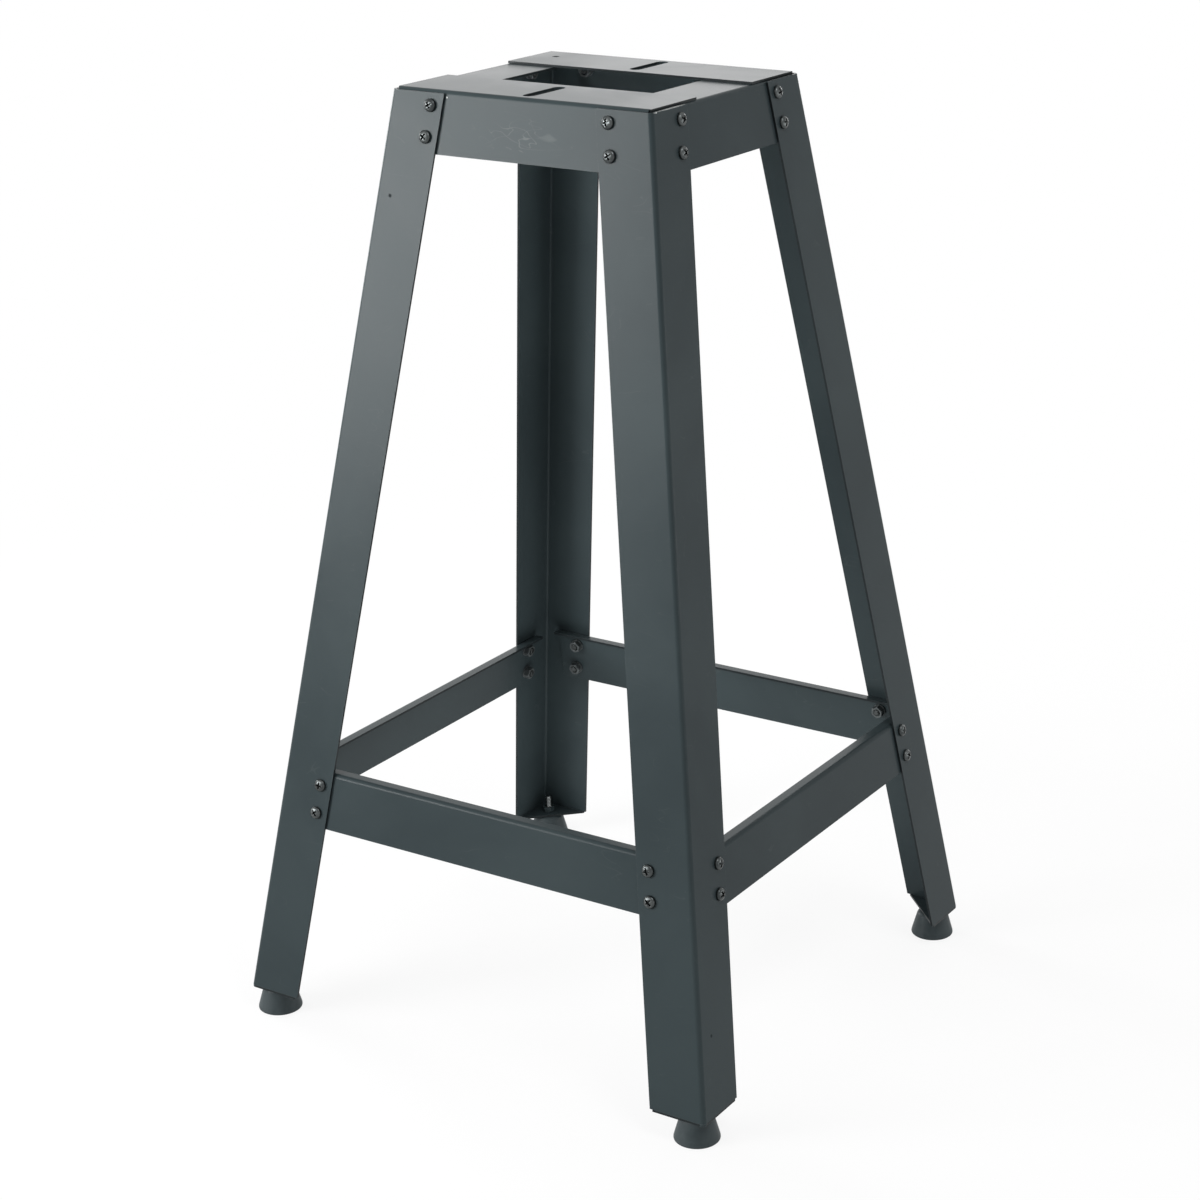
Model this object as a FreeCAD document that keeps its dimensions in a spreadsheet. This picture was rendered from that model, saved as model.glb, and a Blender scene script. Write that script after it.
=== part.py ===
import FreeCAD, Part

import os

import Sketcher

# Bench grinder stand: four splayed, folded sheet-steel legs, four folded rails
# round the top and four lower down, screwed together at the corners, on
# screw-in rubber feet.
#
# Frame: origin on the floor in the middle of the footprint, +X along the front
# rails towards the right legs, +Y from front to rear, +Z up. Millimetres.

# The driving sizes, each with what it measures.
DRIVING_SIZES = {
    # the stand as a whole
    "stand_height": (797, "floor to the face that the grinder is bolted to"),
    "top_width": (242.6, "over the legs along X, at their upper ends"),
    "top_depth": (224, "over the legs along Y, at their upper ends"),
    "foot_width": (462, "over the legs along X, at their lower ends"),
    "foot_depth": (452.8, "over the legs along Y, at their lower ends"),
    # folded sheet
    "sheet": (2, "thickness of the legs and rails"),
    "bend_radius": (2, "inside radius of every fold"),
    # legs
    "leg_flange": (50.8, "each side of a leg's angle"),
    "leg_drop": (2, "leg's upper end below the grinder face"),
    "corner_round": (1, "rounding of the free corners of the sheet"),
    # upper rails
    "rail_height": (49.6, "upper rail, over its flange and skirt"),
    "rail_end_gap": (3.4, "front rail's flange end inside the leg's outer face"),
    "rail_relief": (1.6, "how far a skirt stops short of its flange's end"),
    "opening_width": (143.6, "hole in the top along X, between the side flanges"),
    "opening_depth": (84.6, "hole in the top along Y, between front and rear"),
    "skirt_gap": (0.8, "side rail's end to the inside of the front rail"),
    # slots for the grinder's two feet
    "slot_spacing": (153, "between the two slots' centres along Y"),
    "slot_length": (51, "slot, end to end"),
    "slot_width": (10, "slot, side to side"),
    # lower rails
    "lower_rail_top": (228.8, "floor to the top of the front and rear lower rails"),
    "lower_rail_height": (49.2, "front and rear lower rails, top to bottom"),
    "lower_side_drop": (2.4, "side lower rail's top below the front one's"),
    "lower_lip": (10.5, "lower rail's lip, from the skirt's outer face"),
    "lower_front_inset": (21, "front lower rail's end to the leg's corner"),
    "lower_side_inset": (26.5, "side lower rail's end to the leg's corner"),
    # screws through leg and rail
    "screw_edge": (11, "screw centre to the leg's free edge"),
    "upper_screw_drop": (12.6, "highest screw below the grinder face"),
    "lower_screw_drop": (11.6, "highest lower screw below the lower rail's top"),
    "screw_pitch": (24.6, "between the two screws of a pair, in height"),
    "screw_diameter": (6, "thread"),
    "screw_length": (12, "under the head to the tip"),
    "screw_head": (10.6, "head diameter"),
    "screw_head_height": (3.8, "head, over its dome"),
    "screw_rim": (1.4, "straight side of the head below its dome"),
    "screw_hole": (6.6, "clearance hole in leg and rail"),
    "thread_gap": (0.05, "radial room between a thread and its nut"),
    "washer_diameter": (12, "washer under each nut"),
    "washer_thick": (1.6, "washer along its axis"),
    "nut_width": (10, "nut across its flats"),
    "nut_height": (5, "nut along its axis"),
    # levelling feet
    "foot_inset": (17, "foot's axis inside the leg's outer faces"),
    "plate_thick": (2, "plate welded under a leg"),
    "plate_side": (48.4, "plate's edges along the leg's two walls"),
    "plate_clip": (1.2, "plate's acute corners cut off"),
    "pad_height": (22, "rubber pad"),
    "pad_gap": (0.3, "pad to the plate when screwed right in"),
    "pad_base": (38, "pad's diameter at the floor"),
    "pad_top": (26.6, "pad's diameter where its cone would meet its top"),
    "pad_rim": (2.4, "height of the pad's upright lower rim"),
    "pad_lower_bevel": (0.8, "bevel round the pad's lower edge"),
    "pad_shoulder": (4.4, "rounding of the pad's upper edge"),
    "stud_diameter": (6, "foot's thread"),
    "stud_top": (40, "floor to the stud's tip"),
    "stud_head": (14, "stud's round head inside the rubber"),
    "stud_head_height": (3, "stud's head, top to bottom"),
    "stud_head_floor": (6, "rubber under the stud's head"),
    "stud_chamfer": (0.8, "bevel at the stud's tip"),
}

# Places worked out from the driving sizes.
LEG_TOP = "(sizes.stand_height - sizes.leg_drop)"
LEG_BOTTOM = "(sizes.pad_height + sizes.pad_gap + sizes.plate_thick)"
LEG_RISE = f"({LEG_TOP} - {LEG_BOTTOM})"
SLOPE_X = f"((sizes.foot_width - sizes.top_width) / 2 / {LEG_RISE})"
SLOPE_Y = f"((sizes.foot_depth - sizes.top_depth) / 2 / {LEG_RISE})"
STRETCH_X = f"sqrt(1 + {SLOPE_X} ^ 2)"
STRETCH_Y = f"sqrt(1 + {SLOPE_Y} ^ 2)"
WALL_X = f"(sizes.sheet * {STRETCH_X})"
WALL_Y = f"(sizes.sheet * {STRETCH_Y})"
OUTER_BEND = "(sizes.bend_radius + sizes.sheet)"
SCREW_INSET = "(sizes.leg_flange - sizes.screw_edge)"
SIDE_RAIL_TOP = "(sizes.stand_height - sizes.sheet)"
LOWER_SIDE_TOP = "(sizes.lower_rail_top - sizes.lower_side_drop)"
LOWER_SIDE_HEIGHT = "(sizes.lower_rail_height - sizes.lower_side_drop)"
RAIL_HALF = "(sizes.top_width / 2 - sizes.rail_end_gap)"
UPPER_SCREW = "(sizes.stand_height - sizes.upper_screw_drop)"
LOWER_SCREW = "(sizes.lower_rail_top - sizes.lower_screw_drop)"
FOOT_X = "(sizes.foot_width / 2 - sizes.foot_inset)"
FOOT_Y = "(sizes.foot_depth / 2 - sizes.foot_inset)"

FAR = "(2 * sizes.stand_height)"
X_AXIS = FreeCAD.Vector(1, 0, 0)
Y_AXIS = FreeCAD.Vector(0, 1, 0)
CLOSE = 0.01

doc = FreeCAD.newDocument("grinder_stand")
sheet = doc.addObject("Spreadsheet::Sheet", "sizes")


def half_width(height):
    """Half the stand's width over its legs at a height."""
    return f"(sizes.top_width / 2 + ({LEG_TOP} - {height}) * {SLOPE_X})"


def half_depth(height):
    """Half the stand's depth over its legs at a height."""
    return f"(sizes.top_depth / 2 + ({LEG_TOP} - {height}) * {SLOPE_Y})"


def fill_sheet():
    for row, (name, (size, note)) in enumerate(DRIVING_SIZES.items(), start=1):
        sheet.set(f"A{row}", name)
        sheet.set(f"B{row}", str(size))
        sheet.set(f"C{row}", note)
        sheet.setAlias(f"B{row}", name)
    doc.recompute()


def number(expression):
    """The present value of an expression on the sheet."""
    result = sheet.evalExpression(expression)
    return float(getattr(result, "Value", result))


def new_body(label):
    body = doc.addObject("PartDesign::Body", label)
    body.Label = label
    return body


def new_sketch(body, name, plane, base=("0", "0", "0"), turn=None):
    """A sketch on an origin plane, moved by base and turned about its own x."""
    sketch = body.newObject("Sketcher::SketchObject", name)
    origin_plane = next(o for o in body.Origin.OriginFeatures if o.Role == plane)
    sketch.AttachmentSupport = (origin_plane, [""])
    sketch.MapMode = "FlatFace"
    sketch.AttachmentOffset = FreeCAD.Placement(
        FreeCAD.Vector(0, 0, 0), FreeCAD.Rotation(X_AXIS, 1 if turn else 0)
    )
    for letter, expression in zip("xyz", base):
        sketch.setExpression(f"AttachmentOffset.Base.{letter}", expression)
    if turn:
        sketch.setExpression("AttachmentOffset.Rotation.Angle", turn)
    return sketch


def pin(sketch, geometry, end, place):
    """Hold one end of a line, or a circle's centre, at a pair of expressions."""
    for kind, expression in zip(("DistanceX", "DistanceY"), place):
        constraint = Sketcher.Constraint(
            kind, -1, 1, geometry, end, number(expression)
        )
        index = sketch.addConstraint(constraint)
        sketch.setExpression(f"Constraints[{index}]", expression)


def draw_outline(sketch, corners):
    """A closed outline of straight lines through pairs of expressions."""
    points = [FreeCAD.Vector(number(x), number(y), 0) for x, y in corners]
    first = sketch.GeometryCount
    count = len(corners)
    for i in range(count):
        line = Part.LineSegment(points[i], points[(i + 1) % count])
        sketch.addGeometry(line, False)
    for i in range(count):
        following = first + (i + 1) % count
        sketch.addConstraint(
            Sketcher.Constraint("Coincident", first + i, 2, following, 1)
        )
    for i, corner in enumerate(corners):
        pin(sketch, first + i, 1, corner)


def draw_circle(sketch, centre, diameter):
    middle = FreeCAD.Vector(number(centre[0]), number(centre[1]), 0)
    circle = Part.Circle(middle, FreeCAD.Vector(0, 0, 1), number(diameter) / 2)
    index = sketch.addGeometry(circle, False)
    pin(sketch, index, 3, centre)
    constraint = sketch.addConstraint(
        Sketcher.Constraint("Diameter", index, number(diameter))
    )
    sketch.setExpression(f"Constraints[{constraint}]", diameter)


def draw_slot(sketch, centre, length, width):
    """A round-ended slot along the sketch's y, end to end over its arcs."""
    radius = number(width) / 2
    reach = number(length) / 2 - radius
    middle = FreeCAD.Vector(number(centre[0]), number(centre[1]), 0)
    up = FreeCAD.Vector(0, reach, 0)
    side = FreeCAD.Vector(radius, 0, 0)
    tip = FreeCAD.Vector(0, radius, 0)
    upper = Part.Arc(middle + up + side, middle + up + tip, middle + up - side)
    lower = Part.Arc(middle - up - side, middle - up - tip, middle - up + side)
    left = Part.LineSegment(middle + up - side, middle - up - side)
    right = Part.LineSegment(middle - up + side, middle + up + side)
    first = sketch.GeometryCount
    for piece in (upper, left, lower, right):
        sketch.addGeometry(piece, False)
    for i in range(4):
        sketch.addConstraint(
            Sketcher.Constraint("Tangent", first + i, 2, first + (i + 1) % 4, 1)
        )
    sketch.addConstraint(Sketcher.Constraint("Equal", first, first + 2))
    radius_bond = sketch.addConstraint(Sketcher.Constraint("Radius", first, radius))
    sketch.setExpression(f"Constraints[{radius_bond}]", f"{width} / 2")
    run = f"({length} - {width}) / 2"
    pin(sketch, first, 3, (centre[0], f"{centre[1]} + {run}"))
    pin(sketch, first + 2, 3, (centre[0], f"{centre[1]} - {run}"))


def pad_feature(body, sketch, length, name, both_ways=False):
    feature = body.newObject("PartDesign::Pad", name)
    feature.Profile = sketch
    feature.setExpression("Length", length)
    feature.Midplane = both_ways
    sketch.Visibility = False
    doc.recompute()
    return feature


def pocket_feature(body, sketch, depth, name, both_ways=False):
    """Cut a sketch into the body, and make sure that something went."""
    before = body.Shape.Volume
    feature = body.newObject("PartDesign::Pocket", name)
    feature.Profile = sketch
    feature.setExpression("Length", depth)
    feature.Midplane = both_ways
    sketch.Visibility = False
    doc.recompute()
    if not body.Shape.Volume < before:
        raise RuntimeError(f"{name} cuts nothing")
    return feature


def revolve_feature(body, sketch, name):
    """Turn a sketch that lies on the XZ plane round the body's Z axis."""
    feature = body.newObject("PartDesign::Revolution", name)
    feature.Profile = sketch
    feature.ReferenceAxis = (sketch, ["V_Axis"])
    feature.Angle = 360
    sketch.Visibility = False
    doc.recompute()
    return feature


def edges_at(shape, places):
    """Names of the edges whose middles lie at the given points."""
    names = []
    for i, edge in enumerate(shape.Edges, start=1):
        middle = edge.valueAt((edge.FirstParameter + edge.LastParameter) / 2)
        if any(middle.distanceToPoint(place) < CLOSE for place in places):
            names.append(f"Edge{i}")
    if len(names) != len(places):
        raise RuntimeError(f"found {len(names)} edges for {len(places)} places")
    return names


def round_edges(body, places, radius, name):
    """Fillet the edges whose middles are given as triples of expressions."""
    base = body.Tip
    points = [FreeCAD.Vector(*(number(part) for part in place)) for place in places]
    feature = body.newObject("PartDesign::Fillet", name)
    feature.Base = (base, edges_at(base.Shape, points))
    feature.setExpression("Radius", radius)
    doc.recompute()
    return feature


def face_sketch(body, name, face):
    """A sketch on the leaning plane of the legs' front or right-hand faces.

    Its x is level, its y runs up the slope from the legs' upper ends, and it
    looks outwards.
    """
    if face == "front":
        base = ("0", LEG_TOP, "sizes.top_depth / 2")
        return new_sketch(body, name, "XZ_Plane", base, f"-atan({SLOPE_Y})")
    base = ("0", LEG_TOP, "sizes.top_width / 2")
    return new_sketch(body, name, "YZ_Plane", base, f"-atan({SLOPE_X})")


def screw_heights(highest):
    return [highest, f"({highest} - sizes.screw_pitch)"]


def drill(body, face, spots, name):
    """Clearance holes square to a leaning face, at (along, height) spots."""
    stretch = STRETCH_Y if face == "front" else STRETCH_X
    sketch = face_sketch(body, f"{name}_sketch", face)
    for along, height in spots:
        up_slope = f"(({height} - {LEG_TOP}) * {stretch})"
        draw_circle(sketch, (along, up_slope), "sizes.screw_hole")
    pocket_feature(body, sketch, "3 * sizes.sheet", name)


def make_leg():
    """The front right leg: an angle whose level section never changes.

    Both walls lean inwards, so the section is drawn level at the leg's lower
    end and pushed along the leg's own slanting line.
    """
    body = new_body("leg_front_right")
    x = "sizes.foot_width / 2"
    y = "-sizes.foot_depth / 2"
    section = new_sketch(body, "leg_section", "XY_Plane", ("0", "0", LEG_BOTTOM))
    draw_outline(
        section,
        [
            (x, y),
            (x, f"{y} + sizes.leg_flange"),
            (f"{x} - {WALL_X}", f"{y} + sizes.leg_flange"),
            (f"{x} - {WALL_X}", f"{y} + {WALL_Y}"),
            (f"{x} - sizes.leg_flange", f"{y} + {WALL_Y}"),
            (f"{x} - sizes.leg_flange", y),
        ],
    )
    run = body.newObject("PartDesign::Pad", "leg_run")
    run.Profile = section
    run.setExpression("Length", LEG_RISE)
    run.UseCustomVector = True
    run.Direction = FreeCAD.Vector(0, 0, 1)
    run.AlongSketchNormal = True
    run.setExpression("Direction.x", f"-{SLOPE_X}")
    run.setExpression("Direction.y", SLOPE_Y)
    run.setExpression("Direction.z", "1")
    section.Visibility = False
    doc.recompute()

    middle = f"(({LEG_TOP} + {LEG_BOTTOM}) / 2)"
    mid_x = half_width(middle)
    mid_y = half_depth(middle)
    inner = (f"{mid_x} - {WALL_X}", f"{WALL_Y} - {mid_y}", middle)
    round_edges(body, [inner], "sizes.bend_radius", "inner_fold")
    round_edges(body, [(mid_x, f"-{mid_y}", middle)], OUTER_BEND, "outer_fold")

    wide = "sizes.top_width / 2"
    deep = "sizes.top_depth / 2"
    free_corners = [
        (f"{wide} - sizes.leg_flange", f"{WALL_Y} / 2 - {deep}", LEG_TOP),
        (f"{wide} - {WALL_X} / 2", f"sizes.leg_flange - {deep}", LEG_TOP),
    ]
    round_edges(body, free_corners, "sizes.corner_round", "upper_corners")

    heights = screw_heights(UPPER_SCREW) + screw_heights(LOWER_SCREW)
    front_spots = [(f"{half_width(z)} - {SCREW_INSET}", z) for z in heights]
    side_spots = [(f"{SCREW_INSET} - {half_depth(z)}", z) for z in heights]
    drill(body, "front", front_spots, "front_screw_holes")
    drill(body, "side", side_spots, "side_screw_holes")
    return body


def fold_rail(label, face, top, height, reach, half_length):
    """A rail folded along its top: a level flange and a leaning skirt.

    The skirt lies on the inside of the legs. reach is the flange's free edge,
    from the middle of the stand, and height is over flange and skirt.
    """
    body = new_body(label)
    on_front = face == "front"
    half_span = half_depth if on_front else half_width
    wall = WALL_Y if on_front else WALL_X
    sign = "-" if on_front else ""
    bottom = f"({top} - {height})"
    under = f"({top} - sizes.sheet)"
    corners = [
        (reach, top),
        (f"({half_span(top)} - {wall})", top),
        (f"({half_span(bottom)} - {wall})", bottom),
        (f"({half_span(bottom)} - 2 * {wall})", bottom),
        (f"({half_span(under)} - 2 * {wall})", under),
        (reach, under),
    ]
    plane = "YZ_Plane" if on_front else "XZ_Plane"
    profile = new_sketch(body, f"{label}_profile", plane)
    draw_outline(profile, [(sign + across, up) for across, up in corners])
    pad_feature(body, profile, f"2 * {half_length}", f"{label}_run", True)

    def on_rail(corner):
        across = sign + corner[0]
        if on_front:
            return ("0", across, corner[1])
        return (across, "0", corner[1])

    round_edges(body, [on_rail(corners[4])], "sizes.bend_radius", f"{label}_inner_fold")
    round_edges(body, [on_rail(corners[1])], OUTER_BEND, f"{label}_outer_fold")
    return body


def relieve_ends(body, face, top, half_length):
    """Cut the skirt back at both ends, clear of the inside of the leg's fold."""
    on_front = face == "front"
    wall = WALL_Y if on_front else WALL_X
    half_span = half_depth if on_front else half_width
    fold_start = f"({half_span(top)} - {wall} - sizes.bend_radius)"
    skirt_end = f"({half_length} - sizes.rail_relief)"
    beyond = f"({half_length} + sizes.sheet)"
    outside = f"({half_span('0')} + sizes.sheet)"
    sketch = new_sketch(body, "relief_sketch", "XY_Plane", ("0", "0", top))
    for end in ("", "-"):
        box = [
            (skirt_end, fold_start),
            (beyond, fold_start),
            (beyond, outside),
            (skirt_end, outside),
        ]
        if on_front:
            draw_outline(sketch, [(end + along, f"-{out}") for along, out in box])
        else:
            draw_outline(sketch, [(out, end + along) for along, out in box])
    pocket_feature(body, sketch, FAR, "corner_relief")


def rail_spots(face, highest):
    """Where a rail's four screws go, in its leaning face."""
    half_span = half_width if face == "front" else half_depth
    spots = []
    for height in screw_heights(highest):
        along = f"({half_span(height)} - {SCREW_INSET})"
        spots += [(along, height), (f"-{along}", height)]
    return spots


def make_front_rail():
    """The front upper rail, whose flange lies on the side rails' flanges."""
    body = fold_rail(
        "top_rail_front",
        "front",
        "sizes.stand_height",
        "sizes.rail_height",
        "(sizes.opening_depth / 2)",
        RAIL_HALF,
    )
    relieve_ends(body, "front", "sizes.stand_height", RAIL_HALF)
    slot = new_sketch(body, "slot_sketch", "XY_Plane", ("0", "0", "sizes.stand_height"))
    draw_slot(
        slot,
        ("0", "-sizes.slot_spacing / 2"),
        "sizes.slot_length",
        "sizes.slot_width",
    )
    pocket_feature(body, slot, "2 * sizes.sheet", "grinder_slot")
    drill(body, "front", rail_spots("front", UPPER_SCREW), "screw_holes")
    return body


def make_right_rail():
    """The right upper rail, one sheet lower, ending inside the front rail."""
    inside = f"({half_depth(SIDE_RAIL_TOP)} - 2 * {WALL_Y} - sizes.bend_radius)"
    half_length = f"({inside} - sizes.skirt_gap)"
    body = fold_rail(
        "top_rail_right",
        "side",
        SIDE_RAIL_TOP,
        "sizes.rail_height",
        "(sizes.opening_width / 2)",
        half_length,
    )
    drill(body, "side", rail_spots("side", UPPER_SCREW), "screw_holes")
    return body


def make_lower_rail(label, face, top, height, inset):
    """A lower rail, a skirt with a narrow lip along its top."""
    on_front = face == "front"
    wall = WALL_Y if on_front else WALL_X
    across_span = half_depth if on_front else half_width
    along_span = half_width if on_front else half_depth
    middle = f"({top} - {height} / 2)"
    reach = f"({across_span(top)} - {wall} - sizes.lower_lip)"
    half_length = f"({along_span(middle)} - {inset})"
    body = fold_rail(label, face, top, height, reach, half_length)
    drill(body, face, rail_spots(face, LOWER_SCREW), "screw_holes")
    return body


def make_foot_plate():
    """The three-cornered plate welded across the front right leg's end."""
    body = new_body("foot_plate_front_right")
    x = "sizes.foot_width / 2"
    y = "-sizes.foot_depth / 2"
    outline = new_sketch(
        body, "plate_outline", "XY_Plane", ("0", "0", f"{LEG_BOTTOM} - sizes.plate_thick")
    )
    draw_outline(
        outline,
        [
            (x, y),
            (x, f"{y} + sizes.plate_side"),
            (f"{x} - sizes.plate_clip", f"{y} + sizes.plate_side"),
            (f"{x} - sizes.plate_side", f"{y} + sizes.plate_clip"),
            (f"{x} - sizes.plate_side", y),
        ],
    )
    pad_feature(body, outline, "sizes.plate_thick", "plate")
    middle = f"{LEG_BOTTOM} - sizes.plate_thick / 2"
    round_edges(body, [(x, y, middle)], OUTER_BEND, "plate_corner")
    hole = new_sketch(body, "stud_hole_sketch", "XY_Plane", ("0", "0", LEG_BOTTOM))
    draw_circle(hole, (FOOT_X, f"-{FOOT_Y}"), "sizes.screw_hole")
    pocket_feature(body, hole, "2 * sizes.plate_thick", "stud_hole")
    return body


def turned(label, profile):
    """A round piece about its own Z, from (radius, height) expressions."""
    body = new_body(label)
    sketch = new_sketch(body, f"{label}_profile", "XZ_Plane")
    draw_outline(sketch, profile)
    revolve_feature(body, sketch, f"{label}_turning")
    return body


def make_screw():
    """A pan-head screw: under its head at z = 0, head up, thread down."""
    head = "sizes.screw_head / 2"
    thread = "sizes.screw_diameter / 2"
    return turned(
        "pan_head_screw",
        [
            ("0", "-sizes.screw_length"),
            (thread, "-sizes.screw_length"),
            (thread, "0"),
            (head, "0"),
            (head, "sizes.screw_rim"),
            (f"{head} * 0.6", "sizes.screw_head_height"),
            ("0", "sizes.screw_head_height"),
        ],
    )


def make_nut():
    """A hexagon nut that stands on z = 0."""
    body = new_body("hexagon_nut")
    sketch = new_sketch(body, "nut_hexagon", "XY_Plane")
    point = "sizes.nut_width / sqrt(3)"
    draw_outline(
        sketch,
        [
            (f"{point} * cos({turn} deg)", f"{point} * sin({turn} deg)")
            for turn in range(0, 360, 60)
        ],
    )
    pad_feature(body, sketch, "sizes.nut_height", "nut_blank")
    bore = new_sketch(body, "nut_bore_sketch", "XY_Plane", ("0", "0", "sizes.nut_height"))
    draw_circle(bore, ("0", "0"), "sizes.screw_diameter + 2 * sizes.thread_gap")
    pocket_feature(body, bore, "2 * sizes.nut_height", "nut_bore")
    return body


def make_washer():
    """A flat washer that stands on z = 0."""
    bore = "(sizes.screw_hole / 2)"
    rim = "(sizes.washer_diameter / 2)"
    return turned(
        "flat_washer",
        [
            (bore, "0"),
            (rim, "0"),
            (rim, "sizes.washer_thick"),
            (bore, "sizes.washer_thick"),
        ],
    )


def make_stud():
    """A foot's stud, about its own axis, with the floor at z = 0."""
    thread = "sizes.stud_diameter / 2"
    head = "sizes.stud_head / 2"
    head_top = "sizes.stud_head_floor + sizes.stud_head_height"
    return turned(
        "foot_stud_blank",
        [
            ("0", "sizes.stud_head_floor"),
            (head, "sizes.stud_head_floor"),
            (head, head_top),
            (thread, head_top),
            (thread, "sizes.stud_top - sizes.stud_chamfer"),
            (f"{thread} - sizes.stud_chamfer", "sizes.stud_top"),
            ("0", "sizes.stud_top"),
        ],
    )


def make_pad():
    """A foot's rubber pad, moulded round the stud's head."""
    base = "sizes.pad_base / 2"
    top = "sizes.pad_top / 2"
    head = "sizes.stud_head / 2"
    thread = "sizes.stud_diameter / 2"
    head_top = "sizes.stud_head_floor + sizes.stud_head_height"
    body = turned(
        "foot_pad_blank",
        [
            ("0", "0"),
            (f"{base} - sizes.pad_lower_bevel", "0"),
            (base, "sizes.pad_lower_bevel"),
            (base, "sizes.pad_rim"),
            (top, "sizes.pad_height"),
            (thread, "sizes.pad_height"),
            (thread, head_top),
            (head, head_top),
            (head, "sizes.stud_head_floor"),
            ("0", "sizes.stud_head_floor"),
        ],
    )
    shoulder = (f"-{top}", "0", "sizes.pad_height")
    round_edges(body, [shoulder], "sizes.pad_shoulder", "pad_shoulder")
    return body


def place_copy(source, name, base, axis=None, angle=None):
    """A linked copy at a triple of expressions, turned about one axis."""
    link = doc.addObject("App::Link", name)
    link.LinkedObject = source
    turn = FreeCAD.Rotation(axis or X_AXIS, 1 if angle else 0)
    link.LinkPlacement = FreeCAD.Placement(FreeCAD.Vector(0, 0, 0), turn)
    for letter, expression in zip("xyz", base):
        link.setExpression(f"LinkPlacement.Base.{letter}", expression)
    if angle:
        link.setExpression("LinkPlacement.Rotation.Angle", angle)
    return link


def gather(label, links):
    group = doc.addObject("Part::Compound", label)
    group.Label = label
    group.Links = links
    doc.recompute()
    return group


def fastener_spots(face, highest):
    """A rail's four screws: place in the legs' outer face, axis, angle.

    Turned by the angle about the axis, a screw's own +Z points straight out of
    the face that it holds.
    """
    spots = []
    for along, height in rail_spots(face, highest):
        if face == "front":
            place = (along, f"-{half_depth(height)}", height)
            spots.append((place, X_AXIS, f"90 deg - atan({SLOPE_Y})"))
        else:
            place = (half_width(height), along, height)
            spots.append((place, Y_AXIS, f"90 deg - atan({SLOPE_X})"))
    return spots


def inward(spot, distance):
    """A screw's spot moved along its axis, into the stand."""
    place, axis, angle = spot
    turn = f"({angle})"
    rise = f"{place[2]} - ({distance}) * cos({turn})"
    if axis == X_AXIS:
        return (place[0], f"{place[1]} + ({distance}) * sin({turn})", rise)
    return (f"{place[0]} - ({distance}) * sin({turn})", place[1], rise)


def make_fasteners(rail, face, highest, screw, washer, nut):
    """The screws, washers and nuts that hold one rail to its two legs."""
    washer_seat = "2 * sizes.sheet + sizes.washer_thick"
    stacks = (
        ("screws", screw, "0"),
        ("washers", washer, washer_seat),
        ("nuts", nut, f"{washer_seat} + sizes.nut_height"),
    )
    groups = []
    for kind, source, depth in stacks:
        label = f"{rail}_{kind}"
        copies = []
        for i, spot in enumerate(fastener_spots(face, highest), start=1):
            seat = inward(spot, depth)
            copies.append(place_copy(source, f"{label}_{i}", seat, spot[1], spot[2]))
        groups.append(gather(label, copies))
    return groups


def mirrored(source, label, normal):
    copy = doc.addObject("Part::Mirroring", label)
    copy.Label = label
    copy.Source = source
    copy.Normal = normal
    return copy


def round_the_corners(part):
    """The piece at all four corners, from the one at the front right."""
    name = part.Label.replace("front_right", "")
    front_left = mirrored(part, f"{name}front_left", X_AXIS)
    rear_right = mirrored(part, f"{name}rear_right", Y_AXIS)
    doc.recompute()
    rear_left = mirrored(front_left, f"{name}rear_left", Y_AXIS)
    return [part, front_left, rear_right, rear_left]


def opposite(part, side):
    """The piece and its mirror image on the far side of the stand."""
    if side == "front":
        return [part, mirrored(part, part.Label.replace("front", "rear"), Y_AXIS)]
    return [part, mirrored(part, part.Label.replace("right", "left"), X_AXIS)]


def make_rails():
    """The front and right-hand rails, each with its face and highest screw."""
    lower_front = make_lower_rail(
        "lower_rail_front",
        "front",
        "sizes.lower_rail_top",
        "sizes.lower_rail_height",
        "sizes.lower_front_inset",
    )
    lower_right = make_lower_rail(
        "lower_rail_right",
        "side",
        LOWER_SIDE_TOP,
        LOWER_SIDE_HEIGHT,
        "sizes.lower_side_inset",
    )
    return [
        (make_front_rail(), "front", UPPER_SCREW),
        (make_right_rail(), "side", UPPER_SCREW),
        (lower_front, "front", LOWER_SCREW),
        (lower_right, "side", LOWER_SCREW),
    ]


def make_nodes():
    """Every sub-part that is written out."""
    screw = make_screw()
    washer = make_washer()
    nut = make_nut()
    corner_parts = [make_leg(), make_foot_plate()]
    for label, blank, height in (
        ("foot_nut_front_right", nut, LEG_BOTTOM),
        ("foot_stud_front_right", make_stud(), "0"),
        ("foot_pad_front_right", make_pad(), "0"),
    ):
        place = (FOOT_X, f"-{FOOT_Y}", height)
        corner_parts.append(gather(label, [place_copy(blank, f"{label}_copy", place)]))

    nodes = []
    for part in corner_parts:
        nodes.extend(round_the_corners(part))
    for rail, face, highest in make_rails():
        fasteners = make_fasteners(rail.Label, face, highest, screw, washer, nut)
        for part in [rail] + fasteners:
            nodes.extend(opposite(part, face))
    doc.recompute()
    return nodes


def check_document(nodes):
    for item in doc.Objects:
        bad = {"Invalid", "Error"} & set(item.State)
        if bad:
            raise RuntimeError(f"{item.Label} is {bad}")
    for node in nodes:
        if node.Shape.isNull() or not node.Shape.isValid():
            raise RuntimeError(f"{node.Label} has no sound shape")


def write_nodes(nodes):
    os.makedirs("parts", exist_ok=True)
    for node in nodes:
        node.Shape.exportStep(os.path.join("parts", f"{node.Label}.step"))
    print(f"wrote {len(nodes)} nodes")


fill_sheet()
stand_nodes = make_nodes()
check_document(stand_nodes)
write_nodes(stand_nodes)
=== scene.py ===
import random
from math import atan2, cos, pi, radians, sin, sqrt

import bpy
from mathutils import Matrix, Vector


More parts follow.
